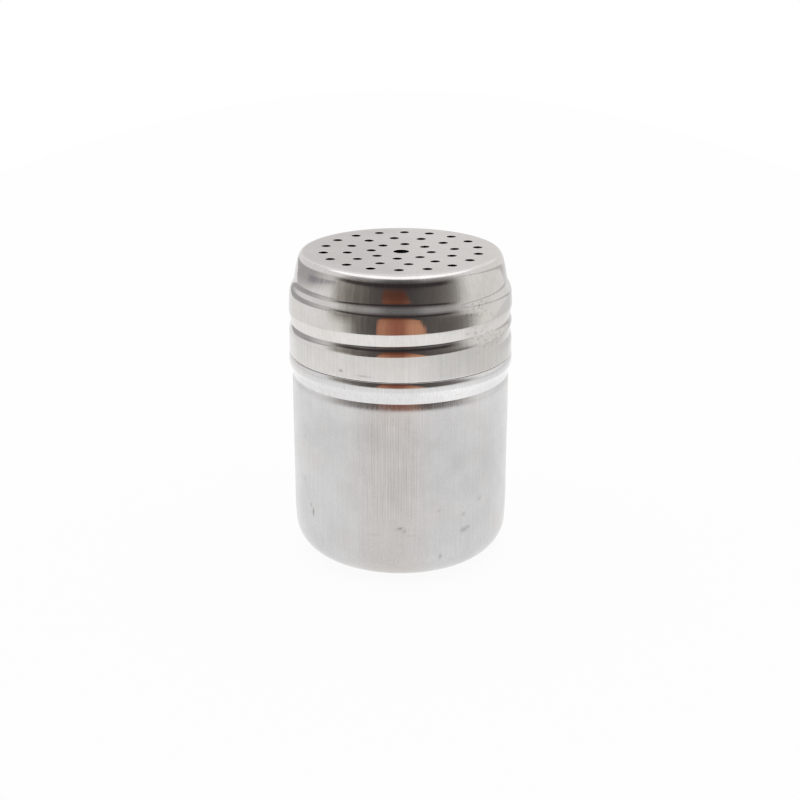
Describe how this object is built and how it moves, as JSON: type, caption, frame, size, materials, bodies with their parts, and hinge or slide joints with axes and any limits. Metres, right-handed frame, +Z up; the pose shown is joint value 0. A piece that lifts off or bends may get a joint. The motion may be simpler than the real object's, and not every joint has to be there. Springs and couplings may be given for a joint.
{
  "type": "spice shaker",
  "caption": "Small round steel spice shaker: a drawn canister with rounded bottom corners and a perforated screw lid with a rolled thread groove.",
  "frame": {"origin": "centre of the canister's flat base", "axes": "+Z up along the canister's and the lid's common centre line; the thread's groove starts on the +X side; the side seen most squarely in use faces -Y"},
  "size_m": [0.0466, 0.0466, 0.065],
  "materials": {
    "canister_steel": "satin stainless steel with fine upright draw lines",
    "lid_steel": "polished stainless steel"
  },
  "bodies": {
    "canister": {"canister": "canister_steel"},
    "lid_carrier": {"lid_hem": "lid_steel"},
    "lid": {"lid": "lid_steel"}
  },
  "joints": [
    {"name": "lid_rise", "type": "slide", "parent": "canister", "child": "lid_carrier", "axis": [0, 0, 1], "range_m": [0, 0.01575]},
    {"name": "lid_turn", "type": "hinge", "parent": "lid_carrier", "child": "lid", "pos_m": [0, 0, 0.044], "axis": [0, 0, 1], "range_deg": [0, 1620]}
  ],
  "couplings": [
    {"joint": "lid_rise", "follows": "lid_turn", "m_per_rad": 0.00055704}
  ]
}
